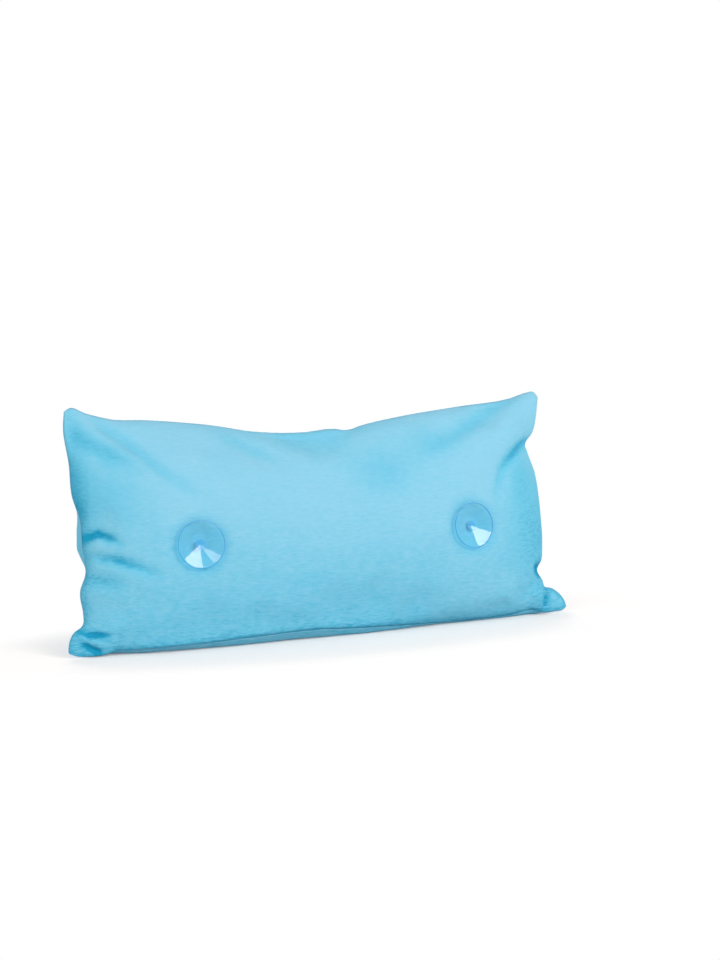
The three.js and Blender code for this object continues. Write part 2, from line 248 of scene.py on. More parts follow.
# Radii of the turned pieces
RIM_RADIUS = 19
LIP_WIDTH = 0.9
RIM_THICKNESS = 0.9
COLLAR_RADIUS = 6.3
COLLAR_THICKNESS = 1.6
NECK_RADIUS = 2.8
NECK_TURN = 0.4
HEAD_RADIUS = 5
HEAD_CHAMFER = 0.6
HEAD_DOME = 0.2
PATCH_RADIUS = 15
PATCH_FLAT = 7.5
PATCH_LIFT = 2.2
WASHER_RADIUS = 6.5
WASHER_BORE = 3.1
ROCK_RELIEF = math.radians(9)
CONE_RINGS = [17, 14, 11, 8, 5.5, 4, 2.5, 1.2, 0.5, 0]
# Widths of the vinyl that is seen through its thickness, at the middle of the bell and at its rim
DEEP_CENTRE = 4
DEEP_RIM = 0.5
TURNED_SIDES = 96
# Rounding of the edges of each piece, its steps, and the most of a side that it takes up
CUP_ROUNDING = 1
PATCH_ROUNDING = 0.4
WASHER_ROUNDING = 0.25
ROUND_STEPS = 5
ROUND_SHARE = 0.45

# Moulding pip near the rim, on the back of the bell: what is nearer the lip than its depth stays as it is
PIP_RADIUS = 16.6
PIP_ANGLE = math.radians(215)
PIP_REACH = 0.9
PIP_HEIGHT = 0.7
PIP_DEPTH = 1

# Colours, linear
PLUSH_LIGHT = (0.31, 0.68, 0.87, 1)
# The middle and deepest plush colours are painted shade in the pile; grain and mottling reach the middle
# one too
PLUSH_MIDDLE = (0.165, 0.61, 0.825, 1)
PLUSH_SHADED = (0.012, 0.36, 0.59, 1)
PLUSH_SHEEN = (0.4, 0.8, 1, 1)
THREAD_BLUE = (0.21, 0.57, 0.80, 1)
BAG_WHITE = (0.86, 0.86, 0.83, 1)
FIBRE_WHITE = (0.90, 0.90, 0.89, 1)
PATCH_BLUE = (0.24, 0.60, 0.82, 1)
VINYL_TINT = (0.9, 0.985, 1, 1)
VINYL_THICK = (0.05, 0.52, 0.92, 1)
VINYL_EDGE = (0, 0.36, 0.82, 1)
WASHER_WHITE = (0.84, 0.88, 0.89, 1)

# Camera: where it stands round the pillow, and what it looks at
PHOTO_HEIGHT = 960
FOCAL_PIXELS = 1850
SENSOR = 36
CAMERA_AZIMUTH = math.radians(-25.7262)
CAMERA_ELEVATION = math.radians(6.817)
CAMERA_DISTANCE = 1.5181
CAMERA_TARGET = Vector((0.0262, -0.014, 0.1254))

# Floor: its colour and glow near the pillow, its colour for scattered light, and half its length
FLOOR_NEAR = (0.92, 0.86, 0.82, 1)
FLOOR_GLOW = (0.24, 0.24, 0.25, 1)
FLOOR_DULL = (0.64, 0.64, 0.64, 1)
FLOOR_HALF = 4000
# Half the length and depth, in metres, of its part that shows the shadow, and the shares where that ends
SHADOW_LENGTH = 0.26
SHADOW_DEPTH = 0.095
SHADOW_END = (0.85, 1.3)

# Strength of the world for scattered light, and where it is seen
WORLD_SCATTERED = 0.36
WORLD_SEEN = 1.0
WHITE = (1, 1, 1, 1)

# What the lamps look at, and the colour of those that only gloss shows
LAMP_AIM = Vector((0, 0.007, 0.09))
GLEAM_COLOUR = (1, 0.8, 0.74)
# Lamps, in degrees and metres: azimuth, elevation and distance, width and height, then the brightness of
# the face, its tilt, and what it lights
LAMPS = {
    "key_box": ((34, 32, 1.5), (0.74, 0.45), 4.2, 0, "cloth"),
    "key_gleam": ((26.6, 34.6, 1.49), (0.82, 0.62), 10, 20, "gloss"),
    "second_gleam": ((-19, 32, 1.5), (0.28, 0.34), 5.5, 0, "gloss"),
    "left_fill": ((-62, 20, 1.8), (1.2, 1.2), 2.2, 0, "both"),
    "front_fill": ((24, 24, 2.2), (1.6, 0.7), 4.5, 0, "cloth"),
    "back_fill": ((170, 24, 1.8), (1.3, 1), 3.9, 0, "cloth"),
}


# Curves and grids
def spline(at, values, where):
    """Smooth values at the places asked for, through the values given at their own places."""
    slopes = np.gradient(values, at, axis=0)
    i = np.clip(np.searchsorted(at, where, side="right") - 1, 0, len(at) - 2)
    shape = (-1,) + (1,) * (values.ndim - 1)
    step = (at[i + 1] - at[i]).reshape(shape)
    t = (where - at[i]).reshape(shape) / step
    first = (2 * t**3 - 3 * t**2 + 1) * values[i] + (t**3 - 2 * t**2 + t) * step * slopes[i]
    second = (3 * t**2 - 2 * t**3) * values[i + 1] + (t**3 - t**2) * step * slopes[i + 1]
    return first + second


def smooth_curve(points, shares):
    """Points of a smooth curve through the given ones, at shares of its length from 0 to 1."""
    points = np.asarray(points, float)
    gaps = np.linalg.norm(np.diff(points, axis=0), axis=1)
    at = np.concatenate([[0], np.cumsum(gaps)])
    return spline(at, points, shares * at[-1])


def smooth_step(low, high, values):
    t = np.clip((values - low) / (high - low), 0, 1)
    return t * t * (3 - 2 * t)


def crowded(cells):
    """Places from -1 to 1 that lie closer together towards both ends."""
    even = np.linspace(-1, 1, cells + 1)
    return (1 - EDGE_CROWDING) * even + EDGE_CROWDING * np.sin(math.pi * even / 2)


def standing(places):
    """Frame points from places across, up and forward in the leaning seam plane."""
    places = np.asarray(places, float)
    across = places[..., :1] * np.array([1.0, 0, 0])
    return SEAM_FOOT + across + places[..., 1:2] * UPWARD + places[..., 2:3] * FRONTWARD


def in_front(places):
    """Frame points from places along, in front of the foot line, and over the floor."""
    return SEAM_FOOT + np.asarray(places, float) * np.array([1.0, -1, 1])


def grid_normals(points):
    """Unit normals of a grid, towards the front where its columns run right and its rows run up."""
    normals = np.cross(np.gradient(points, axis=1), np.gradient(points, axis=0))
    return normals / np.maximum(np.linalg.norm(normals, axis=-1, keepdims=True), 1e-9)


# Stuffed form
def seam_sheet(u, v):
    """The sheet that the four seam edges span: a row of points for each v, from the bottom up."""
    s = (u + 1) / 2
    t = (v + 1) / 2
    bottom = smooth_curve(in_front(BOTTOM_EDGE), s)
    top = smooth_curve(standing(TOP_EDGE), s)
    left = smooth_curve(standing(LEFT_EDGE), t)
    right = smooth_curve(standing(RIGHT_EDGE), t)
    low = bottom.copy()
    low[:, 1:] = SEAM_FOOT[1] - PLAIN_FORWARD, PLAIN_BOTTOM
    plain_top = np.array(PLAIN_TOP, float)
    heights = spline(plain_top[:, 0], plain_top[:, 1], top[:, 0])
    high = standing(np.stack([top[:, 0], heights, 0 * heights], axis=-1))
    s = s[None, :, None]
    t = t[:, None, None]
    sheet = (1 - t) * low + t * high
    sheet = sheet + np.exp(-t / EDGE_REACH) * (bottom - low) + np.exp(-(1 - t) / EDGE_REACH) * (top - high)
    near_left = np.exp(-s / EDGE_REACH) * (left[:, None] - sheet[:, :1])
    near_right = np.exp(-(1 - s) / EDGE_REACH) * (right[:, None] - sheet[:, -1:])
    sheet = sheet + near_left + near_right
    sheet[0] = bottom
    sheet[-1] = top
    return sheet


def fullness(places, power):
    """How full the stuffing is, from one edge at -1 to the other at 1."""
    return (1 - np.abs(places) ** power) ** ROUNDNESS


def belly(v, span, rise):
    """A swell that starts at the bottom seam and ends a span above it."""
    return np.sin(math.pi * np.minimum((v + 1) / span, 1) ** rise)


def panel_form(u, v, facing, rim):
    """Points of one stuffed panel: facing is 1 for the front and -1 for the rear."""
    crown = FRONT_CROWN if facing > 0 else REAR_CROWN
    front_slump = FRONT_SLUMP + RIGHT_SLUMP * smooth_step(*RIGHT_SLUMP_SPAN, u)[None, :, None]
    slump = front_slump if facing > 0 else REAR_SLUMP
    wide = fullness(u, ACROSS_POWER)[None, :, None]
    out = rim + (crown - rim) * wide * fullness(v, UP_POWER)[:, None, None]
    if facing < 0:
        out = out - ROLL * wide * belly(v, ROLL_SPAN, ROLL_RISE)[:, None, None]
    drop = slump * wide * belly(v, SLUMP_SPAN, SLUMP_RISE)[:, None, None] ** SLUMP_POWER
    return on_floor(seam_sheet(u, v) + facing * out * FRONTWARD - drop * UPWARD)


def on_floor(points):
    """The points with those below the floor brought up to it, over a small rounding."""
    height = points[..., 2]
    rounded_height = (height + np.sqrt(height**2 + FLOOR_ROUNDING**2)) / 2
    points = points.copy()
    points[..., 2] = np.maximum(rounded_height - FLOOR_SETTLING, 0)
    return points


# Cup seats, from the joints that the cups spin on
class Seat:
    """Where a cup sits: the middle of its seat's outer face, and directions from there."""

    def __init__(self, side):
        joint = next(j for j in frame["joints"] if j["name"] == f"{side}_cup_spin")
        self.centre = np.array(joint["pos_m"]) / MM
        self.axis = np.array(joint["axis"])
        self.right = np.cross([0, 0, 1], self.axis)
        self.right /= np.linalg.norm(self.right)
        self.up = np.cross(self.axis, self.right)

    def height_and_radius(self, points):
        away = points - self.centre
        height = away @ self.axis
        across = away - height[..., None] * self.axis
        return height, np.linalg.norm(across, axis=-1)

    def at(self, radius, angle, height):
        flat = math.cos(angle) * self.right + math.sin(angle) * self.up
        return self.centre + radius * flat + height * self.axis


SEATS = {"left": Seat("left"), "right": Seat("right")}


def seated(points, level):
    """Points drawn down round each cup, to a level under the seat's outer face at its neck."""
    for seat in SEATS.values():
        height, radius = seat.height_and_radius(points)
        most = level + SEAT_RISE * np.maximum(radius - SEAT_FLAT, 0)
        gap = height - most
        lowered = most + (gap - np.sqrt(gap**2 + SEAT_ROUNDING**2)) / 2
        hold = 1 - smooth_step(SEAT_FLAT, 2 * SEAT_FLAT, radius)
        lowered = hold * level + (1 - hold) * lowered
        lowered = np.where((radius < SEAT_REACH) & (np.abs(height) < SEAT_REACH / 2), lowered, height)
        points = points + (lowered - height)[..., None] * seat.axis
    return points


# Cloth simulation
def welded(front, rear):
    """Both panels as one closed mesh in metres, with a shared seam, and each grid's point numbers in it."""
    rows, columns = front.shape[:2]
    inside = np.zeros((rows, columns), bool)
    inside[1:-1, 1:-1] = True
    front_index = np.arange(rows * columns).reshape(rows, columns)
    rear_index = front_index.copy()
    rear_index[inside] = rows * columns + np.arange(inside.sum())
    points = np.concatenate([front.reshape(-1, 3), rear[inside]]) * MM
    faces = quads(front_index) + [face[::-1] for face in quads(rear_index)]
    mesh = bpy.data.meshes.new("cloth_trial")
    mesh.from_pydata(points.tolist(), [], faces)
    return mesh, front_index, rear_index


def quads(index):
    """Faces of a grid of point numbers."""
    corners = [index[:-1, :-1], index[:-1, 1:], index[1:, 1:], index[1:, :-1]]
    return np.stack(corners, axis=-1).reshape(-1, 4).tolist()


def held_points(rear, front_index, rear_index):
    """Numbers of the points that the simulation holds: the seam and the flat base."""
    seam = front_index == rear_index
    return rear_index[seam | (rear[..., 2] < SIM_HELD_HEIGHT)].tolist()


def drift_of(front, rear):
    """How far the stuffing and the spare cloth move each grid point, by a short simulation."""
    mesh, front_index, rear_index = welded(front, rear)
    trial = bpy.data.objects.new("cloth_trial", mesh)
    scene.collection.objects.link(trial)
    pins = trial.vertex_groups.new(name="held")
    pins.add(held_points(rear, front_index, rear_index), 1.0, "REPLACE")
    cloth = trial.modifiers.new("cloth", "CLOTH")
    settings = cloth.settings
    settings.quality = SIM_QUALITY
    settings.mass = SIM_MASS
    settings.bending_stiffness = SIM_BENDING
    settings.use_pressure = True
    settings.uniform_pressure_force = SIM_PRESSURE
    settings.shrink_min = -SIM_SPARE_CLOTH
    settings.vertex_group_mass = pins.name
    settings.effector_weights.gravity = 0
    cloth.point_cache.frame_start = 1
    cloth.point_cache.frame_end = SIM_FRAMES
    for step in range(1, SIM_FRAMES + 1):
        scene.frame_set(step)
    moved = trial.evaluated_get(bpy.context.evaluated_depsgraph_get()).to_mesh()
    after = np.empty(len(moved.vertices) * 3, np.float32)
    moved.vertices.foreach_get("co", after)
    after = after.reshape(-1, 3).astype(float) / MM
    bpy.data.objects.remove(trial)
    bpy.data.meshes.remove(mesh)
    scene.frame_set(1)
    drifts = [after[front_index] - front, after[rear_index] - rear]
    return [capped(drift) for drift in drifts]


def capped(drift):
    length = np.linalg.norm(drift, axis=-1, keepdims=True)
    return drift * np.minimum(1, SIM_CAP / np.maximum(length, 1e-9))


def made_finer(grid):
    """The same grid with more points between its own."""
    for axis in (0, 1):
        turned_grid = np.moveaxis(grid, axis, 0)
        at = np.arange(len(turned_grid), dtype=float)
        where = np.linspace(0, len(at) - 1, (len(at) - 1) * FINER + 1)
        grid = np.moveaxis(spline(at, turned_grid, where), 0, axis)
    return grid


# Folds and unevenness
def fold_field(across, up, folds):
    """Height of the folds at places on the flat seam sheet, and how much shade they paint into the pile
    there.
    """
    heights = np.zeros_like(across)
    shade = np.zeros_like(across)
    for sharpness, width, painted_fold_shade, places in folds.values():
        places = np.array(places, float)
        nearest = np.full_like(across, np.inf)
        height = np.zeros_like(across)
        for start, end in zip(places[:-1], places[1:]):
            run = end[:2] - start[:2]
            share = ((across - start[0]) * run[0] + (up - start[1]) * run[1]) / (run @ run)
            share = np.clip(share, 0, 1)
            away = np.hypot(across - start[0] - share * run[0], up - start[1] - share * run[1])
            closer = away < nearest
            nearest = np.where(closer, away, nearest)
            height = np.where(closer, start[2] + share * (end[2] - start[2]), height)
        heights += height * np.exp(-((nearest / width) ** sharpness))
        depth = np.clip(-height / FULL_SHADE_DEPTH, 0, 1)
        shade = np.maximum(shade, painted_fold_shade * depth * np.exp(-((nearest / width) ** 2)))
    return heights, shade


def lump_heights(points):
    """Small seeded unevenness of the stuffing under the cloth."""
    flat = points.reshape(-1, 3)
    total = np.zeros(len(flat))
    for size, height in LUMPS:
        total += [height * noise.noise(Vector(p / size)) for p in flat]
    return total.reshape(points.shape[:2])


def painted_pile_shade(across, up, fold_shade, low_shade):
    """Painted shade of the pile, from 0 to 1: in folds, low down, and in patches where the pile lies the
    other way.
    """
    shade = fold_shade + low_shade * (1 - smooth_step(0, LOW_SHADE_TOP, up))
    for centre_across, centre_up, reach_across, reach_up, amount in PILE_PATCHES:
        away = ((across - centre_across) / reach_across) ** 2 + ((up - centre_up) / reach_up) ** 2
        shade = shade + amount * np.exp(-away)
    return np.clip(shade, 0, 1)


def seam_shade(up, edge_distance):
    """How much painted shade darkens the pile along the front's seam, below the top."""
    below_top = 1 - smooth_step(*SEAM_SHADE_END, up)
    return SEAM_SHADE * below_top * np.exp(-((edge_distance / SEAM_SHADE_REACH) ** 2))


def seat_shade(points):
    """How much painted shade darkens the pile under and round the cups."""
    shade = np.zeros(points.shape[:2])
    for seat in SEATS.values():
        radius = seat.height_and_radius(points)[1]
        shade = shade + SEAT_SHADE * (1 - smooth_step(*SEAT_SHADE_END, radius))
    return shade


class Cover:
    """One panel of the finished cover, as grids of points, and the shade painted into its pile colour."""

    def __init__(self, facing, drift, folds):
        u = crowded(GRID_COLUMNS * FINER)
        v = crowded(GRID_ROWS * FINER)
        sheet = seam_sheet(u, v)
        across = sheet[..., 0]
        up = (sheet - SEAM_FOOT) @ UPWARD
        half_height = (up[-1] - up[0]) / 2
        half_width = (across[:, -1:] - across[:, :1]) / 2
        to_side = (1 - np.abs(u)) * half_width
        to_end = (1 - np.abs(v))[:, None] * half_height
        self.facing = facing
        self.edge_distance = np.minimum(to_side, to_end)
        loose = smooth_step(0, DRIFT_FADE, self.edge_distance)[..., None]
        points = panel_form(u, v, facing, SEAM_RIM) + loose * made_finer(drift)
        self.unfolded = points
        self.plain_normals = facing * grid_normals(points)
        fold_height, fold_shade = fold_field(across, up, folds)
        fade = smooth_step(0, FOLD_FADE, self.edge_distance)
        heights = fade * (fold_height + lump_heights(points))
        points = points + heights[..., None] * self.plain_normals
        self.dips = spread_down(np.minimum(heights, 0))
        # The pile's colour gets painted shade: in folds, low down and in patches, and on the front along
        # the seam and under the cups
        low_shade = FRONT_LOW_SHADE if facing > 0 else REAR_LOW_SHADE
        self.shade = painted_pile_shade(facing * across, up, fold_shade, low_shade)
        if facing > 0:
            points = seated(points, 0)
            self.shade = self.shade + seam_shade(up, self.edge_distance) + seat_shade(points)
        points[..., 2] = np.maximum(points[..., 2], 0)
        self.outer = points
        self.normals = facing * grid_normals(points)

    def at_depth(self, depth):
        """The panel's points moved into the stuffing, less so at the seam, and kept over the floor."""
        wall = np.minimum(depth, PLUSH_EDGE_WALL + WALL_GROWTH * self.edge_distance)
        points = self.outer - wall[..., None] * self.normals
        points[..., 2] = np.maximum(points[..., 2], np.minimum(depth, self.outer[..., 2] + wall))
        return points

    def under_folds(self, depth):
        """Points of a smoother layer that stays that deep under the lowest part of each fold."""
        points = self.unfolded - (depth - self.dips)[..., None] * self.plain_normals
        points[..., 2] = np.maximum(points[..., 2], depth)
        return points


def spread_down(heights):
    """The lowest of the heights nearby."""
    for axis in (0, 1):
        around = [np.roll(heights, shift, axis) for shift in range(-FOLD_REACH, FOLD_REACH + 1)]
        heights = np.min(around, axis=0)
    return heights


# Meshes
def mesh_object(name, points, faces, material):
    mesh = bpy.data.meshes.new(name)
    mesh.from_pydata((np.asarray(points) * MM).tolist(), [], faces)
    mesh.update()
    mesh.shade_smooth()
    mesh.materials.append(material)
    piece = bpy.data.objects.new(name, mesh)
    scene.collection.objects.link(piece)
    return piece


def open_edges(faces):
    """Edges that only one face uses, in that face's direction."""
    edges = set()
    for face in faces:
        edges.update(zip(face, face[1:] + face[:1]))
    return sorted(edge for edge in edges if edge[::-1] not in edges)


def solid_between(name, outer, inner, facing, material, holes=(), shade=None):
    """Closed solid between two grids of points, with a round hole through it at each seat given."""
    rows, columns = outer.shape[:2]
    count = rows * columns
    index = np.arange(count).reshape(rows, columns)
    faces = np.array(quads(index))
    middles = outer.reshape(-1, 3)[faces].mean(axis=1)
    kept = np.ones(len(faces), bool)
    for seat in holes:
        kept &= seat.height_and_radius(middles)[1] > NECK_HOLE_RADIUS
    outer_faces = [face if facing > 0 else face[::-1] for face in faces[kept].tolist()]
    walls = open_edges(outer_faces)
    points = np.concatenate([outer.reshape(-1, 3), inner.reshape(-1, 3)])
    rim = {i for edge in walls for i in edge}
    for seat in holes:
        height, radius = seat.height_and_radius(points)
        for i in rim:
            if radius[i] < 2 * NECK_HOLE_RADIUS:
                for j in (i, i + count):
                    out = points[j] - seat.centre - height[j] * seat.axis
                    points[j] += out * (NECK_HOLE_RADIUS / radius[j] - 1)
    inner_faces = [[i + count for i in face[::-1]] for face in outer_faces]
    wall_faces = [[b, a, a + count, b + count] for a, b in walls]
    solid = mesh_object(name, points, outer_faces + inner_faces + wall_faces, material)
    if shade is not None:
        add_shade(solid, shade)
    return without_loose_points(solid)


def add_shade(piece, shade):
    """Stores the painted shade of the pile on a panel's points, on both of its faces alike."""
    both = np.tile(shade.ravel(), 2)
    attribute = piece.data.attributes.new("painted_pile_shade", "FLOAT", "POINT")
    attribute.data.foreach_set("value", both.astype(np.float32))


def without_loose_points(piece):
    """Drops the points that no face uses."""
    work = bmesh.new()
    work.from_mesh(piece.data)
    loose = [vertex for vertex in work.verts if not vertex.link_faces]
    bmesh.ops.delete(work, geom=loose, context="VERTS")
    work.to_mesh(piece.data)
    work.free()
    return piece


def thread_loop(name, loop, material):
    """A two-ply thread along a closed loop of points."""
    gaps = np.linalg.norm(np.roll(loop, -1, axis=0) - loop, axis=1)
    along = np.concatenate([[0], np.cumsum(gaps)[:-1]])
    ahead = np.roll(loop, -1, axis=0) - np.roll(loop, 1, axis=0)
    ahead /= np.linalg.norm(ahead, axis=1, keepdims=True)
    sideways = np.cross(ahead, FRONTWARD)
    sideways /= np.linalg.norm(sideways, axis=1, keepdims=True)
    forward = np.cross(sideways, ahead)
    rings = []
    for k in range(THREAD_SIDES):
        angle = 2 * math.pi * k / THREAD_SIDES
        ply = np.cos(2 * (angle - 2 * math.pi * along / THREAD_LAY))
        radius = (THREAD_RADIUS + THREAD_PLY * ply)[:, None]
        rings.append(loop + radius * (math.cos(angle) * sideways + math.sin(angle) * forward))
    points = np.stack(rings, axis=1).reshape(-1, 3)
    count = len(loop)
    index = np.arange(count * THREAD_SIDES).reshape(count, THREAD_SIDES)
    closed = np.pad(index, ((0, 1), (0, 1)), "wrap")
    return mesh_object(name, points, quads(closed), material)


def rounded(profile, radius):
    """A profile of radius and height with its inner corners turned into short curves."""
    profile = np.array(profile, float)
    points = [profile[0]]
    for before, corner, after in zip(profile[:-2], profile[1:-1], profile[2:]):
        start = corner + (before - corner) * min(radius / np.linalg.norm(before - corner), ROUND_SHARE)
        end = corner + (after - corner) * min(radius / np.linalg.norm(after - corner), ROUND_SHARE)
        for t in np.linspace(0, 1, ROUND_STEPS):
            points.append((1 - t) ** 2 * start + 2 * t * (1 - t) * corner + t**2 * end)
    points.append(profile[-1])
    return points


def turned(name, profile, seat, material):
    """A piece turned round a cup's axis. A profile that ends on the axis is closed there."""
    points = []
    rings = []
    for radius, height in profile:
        if radius < 1e-6:
            rings.append([len(points)] * TURNED_SIDES)
            points.append(seat.at(0, 0, height))
            continue
        rings.append(list(range(len(points), len(points) + TURNED_SIDES)))
        for k in range(TURNED_SIDES):
            points.append(seat.at(radius, 2 * math.pi * k / TURNED_SIDES, height))
    faces = []
    for ring, after in zip(rings[:-1], rings[1:]):
        for k in range(TURNED_SIDES):
            n = (k + 1) % TURNED_SIDES
            faces.append(list(dict.fromkeys([ring[k], ring[n], after[n], after[k]])))
    return mesh_object(name, points, faces, material)


# Materials
def new_material(name):
    material = bpy.data.materials.new(name)
    material.use_nodes = True
    tree = material.node_tree
    return material, tree, tree.nodes["Principled BSDF"]


def add_node(tree, kind, inputs=None, **settings):
    made = tree.nodes.new("ShaderNode" + kind)
    for key, value in settings.items():
        setattr(made, key, value)
    set_inputs(made, inputs or {})
    return made


def set_inputs(made, inputs):
    for key, value in inputs.items():
        made.inputs[key].default_value = value


def dimmed(colour, share):
    return tuple(share * c for c in colour[:3]) + (1,)


def place_in_frame(tree, node):
    """Gives a node the places of points in the frame's own directions."""
    places = add_node(tree, "TexCoord")
    tree.links.new(places.outputs["Object"], node.inputs["Vector"])


def stretched_noise(tree, scale, detail):
    """Noise in the frame's own directions, with a scale along each, in lumps for each metre."""
    stretch = add_node(tree, "Mapping", {"Scale": scale})
    grain = add_node(tree, "TexNoise", {"Scale": 1.0, "Detail": detail, "Roughness": 0.6})
    place_in_frame(tree, stretch)
    tree.links.new(stretch.outputs["Vector"], grain.inputs["Vector"])
    return grain.outputs["Fac"]


def even_noise(tree, scale, detail):
    return stretched_noise(tree, (scale, scale, scale), detail)


def scaled(tree, value, low, high):
    """A value from 0 to 1 moved into another range."""
    ranged = add_node(tree, "MapRange", {"To Min": low, "To Max": high})
    tree.links.new(value, ranged.inputs["Value"])
    return ranged.outputs["Result"]


def combined(tree, operation, first, second):
    made = add_node(tree, "Math", operation=operation)
    tree.links.new(first, made.inputs[0])
    tree.links.new(second, made.inputs[1])
    return made.outputs[0]


def coloured(tree, shader, grain, first, second):
    """Gives the shader a colour between two, by the grain."""
    # This kind of mix has its two colours at inputs 6 and 7
    mix = add_node(tree, "Mix", {6: first, 7: second}, data_type="RGBA")
    tree.links.new(grain, mix.inputs[0])
    tree.links.new(mix.outputs[2], shader.inputs["Base Color"])


def mixed_shader(tree, factor, first, second):
    mix = add_node(tree, "MixShader")
    tree.links.new(factor, mix.inputs[0])
    tree.links.new(first.outputs[0], mix.inputs[1])
    tree.links.new(second.outputs[0], mix.inputs[2])
    return mix


def bumped(tree, shader, height, strength, distance):
    bump = add_node(tree, "Bump", {"Strength": strength, "Distance": distance})
    tree.links.new(height, bump.inputs["Height"])
    tree.links.new(bump.outputs["Normal"], shader.inputs["Normal"])


def pile_colour(tree, depth):
    """The colour of the pile, from its tips to the painted shade deep in a fold."""
    ramp = add_node(tree, "ValToRGB")
    stops = ramp.color_ramp.elements
    stops[0].color = PLUSH_LIGHT
    stops[1].color = PLUSH_SHADED
    stops.new(0.5).color = PLUSH_MIDDLE
    tree.links.new(depth, ramp.inputs["Fac"])
    return ramp.outputs["Color"]


def streaky_low_down(tree):
    """1 at the floor and less higher up, where the pile has fewer streaks."""
    parts = add_node(tree, "SeparateXYZ")
    ranged = add_node(tree, "MapRange", {"From Max": STREAKS_TOP, "To Min": 1.0, "To Max": STREAKS_LEFT})
    place_in_frame(tree, parts)
    tree.links.new(parts.outputs["Z"], ranged.inputs["Value"])
    return ranged.outputs["Result"]


def plush():
    """Short pile, brushed along the pillow: streaks, fibres, mottling, and painted shade that deepens its
    colour in the folds, low down, along the seam, under the cups and in patches.
    """
    material, tree, shader = new_material("plush")
    streaks = stretched_noise(tree, (150, 300, 620), 2.0)
    fibres = even_noise(tree, 1500, 3.0)
    mottle = stretched_noise(tree, (22, 22, 34), 3.0)
    # The painted shade stored on the cover's points
    shade = add_node(tree, "Attribute", attribute_name="painted_pile_shade").outputs["Fac"]
    brushed = combined(tree, "MULTIPLY", scaled(tree, streaks, -0.45, 0.5), streaky_low_down(tree))
    grain = combined(tree, "ADD", brushed, scaled(tree, fibres, -0.08, 0.12))
    uneven = combined(tree, "ADD", grain, scaled(tree, mottle, -0.1, 0.16))
    # Grain and mottling add to the painted shade, which sets how far the colour goes towards the shaded end
    depth = combined(tree, "ADD", uneven, shade)
    tree.links.new(pile_colour(tree, depth), shader.inputs["Base Color"])
    set_inputs(shader, {
        "Roughness": 0.95,
        "Specular IOR Level": 0.15,
        "Sheen Weight": 0.06,
        "Sheen Roughness": 0.5,
        "Sheen Tint": PLUSH_SHEEN,
    })
    height = combined(tree, "ADD", scaled(tree, streaks, 0, 0.6), scaled(tree, fibres, 0, 0.4))
    bumped(tree, shader, height, 0.6, 0.001)
    return material


def sewing_thread():
    material, tree, shader = new_material("sewing_thread")
    fuzz = even_noise(tree, 900, 3.0)
    coloured(tree, shader, fuzz, dimmed(THREAD_BLUE, 0.75), THREAD_BLUE)
    set_inputs(shader, {"Roughness": 0.8})
    bumped(tree, shader, fuzz, 0.4, 0.0001)
    return material


def bag_cloth():
    """Thin non-woven cloth with its pressed dots."""
    material, tree, shader = new_material("bag_cloth")
    dots = add_node(tree, "TexVoronoi", {"Scale": 650.0, "Randomness": 0.15})
    place_in_frame(tree, dots)
    fibres = even_noise(tree, 500, 4.0)
    coloured(tree, shader, fibres, BAG_WHITE, dimmed(BAG_WHITE, 0.9))
    set_inputs(shader, {"Roughness": 0.9})
    bumped(tree, shader, dots.outputs["Distance"], 0.3, 0.0003)
    return material


def loose_fibre():
    material, tree, shader = new_material("loose_fibre")
    tufts = even_noise(tree, 120, 6.0)
    coloured(tree, shader, tufts, dimmed(FIBRE_WHITE, 0.85), FIBRE_WHITE)
    set_inputs(shader, {"Roughness": 1.0, "Sheen Weight": 0.3})
    bumped(tree, shader, tufts, 0.8, 0.003)
    return material


def woven_patch():
    material, tree, shader = new_material("woven_patch")
    yarns = []
    for direction in ("X", "Z"):
        wave = add_node(tree, "TexWave", {"Scale": 500.0}, bands_direction=direction)
        place_in_frame(tree, wave)
        yarns.append(wave.outputs["Fac"])
    weave = combined(tree, "MULTIPLY", *yarns)
    coloured(tree, shader, weave, dimmed(PATCH_BLUE, 0.7), PATCH_BLUE)
    set_inputs(shader, {"Roughness": 0.9})
    bumped(tree, shader, weave, 0.5, 0.0002)
    return material


def clear_vinyl():
    """Soft clear vinyl with the faint waves of a moulding. Scattered and mirrored light goes through it."""
    material, tree, shader = new_material("clear_vinyl")
    waves = even_noise(tree, 160, 2.0)
    tree.links.new(scaled(tree, waves, 0.02, 0.07), shader.inputs["Roughness"])
    set_inputs(shader, {"Base Color": VINYL_TINT, "Transmission Weight": 1.0, "IOR": 1.5})
    bumped(tree, shader, waves, 0.1, 0.0004)
    path = add_node(tree, "LightPath")
    clear = add_node(tree, "BsdfTransparent", {"Color": VINYL_TINT})
    for ray in ("Is Shadow Ray", "Is Diffuse Ray", "Is Glossy Ray"):
        shader = mixed_shader(tree, path.outputs[ray], shader, clear)
    tree.links.new(shader.outputs[0], tree.nodes["Material Output"].inputs["Surface"])
    return material


def thick_vinyl(name, colour):
    """The same vinyl where it is seen through its thickness: deeper and less clear."""
    material, tree, shader = new_material(name)
    waves = even_noise(tree, 200, 2.0)
    paler = tuple(0.3 + 0.7 * c for c in colour[:3]) + (1,)
    coloured(tree, shader, scaled(tree, waves, 0, 0.3), colour, paler)
    set_inputs(shader, {"Roughness": 0.1, "Transmission Weight": 0.2})
    return material


def washer_plastic():
    material, tree, shader = new_material("washer_plastic")
    cloud = even_noise(tree, 260, 3.0)
    coloured(tree, shader, cloud, WASHER_WHITE, dimmed(WASHER_WHITE, 0.92))
    tree.links.new(scaled(tree, cloud, 0.35, 0.5), shader.inputs["Roughness"])
    bumped(tree, shader, cloud, 0.1, 0.0002)
    return material


# Pieces
def declared(piece, body, node):
    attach(piece, body)
    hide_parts(node)
    return piece


def cover_panel(name, cover, material, holes):
    inner = cover.at_depth(PLUSH_WALL)
    if cover.facing > 0:
        inner = seated(inner, -PLUSH_WALL)
    return solid_between(name, cover.outer, inner, cover.facing, material, holes, cover.shade)


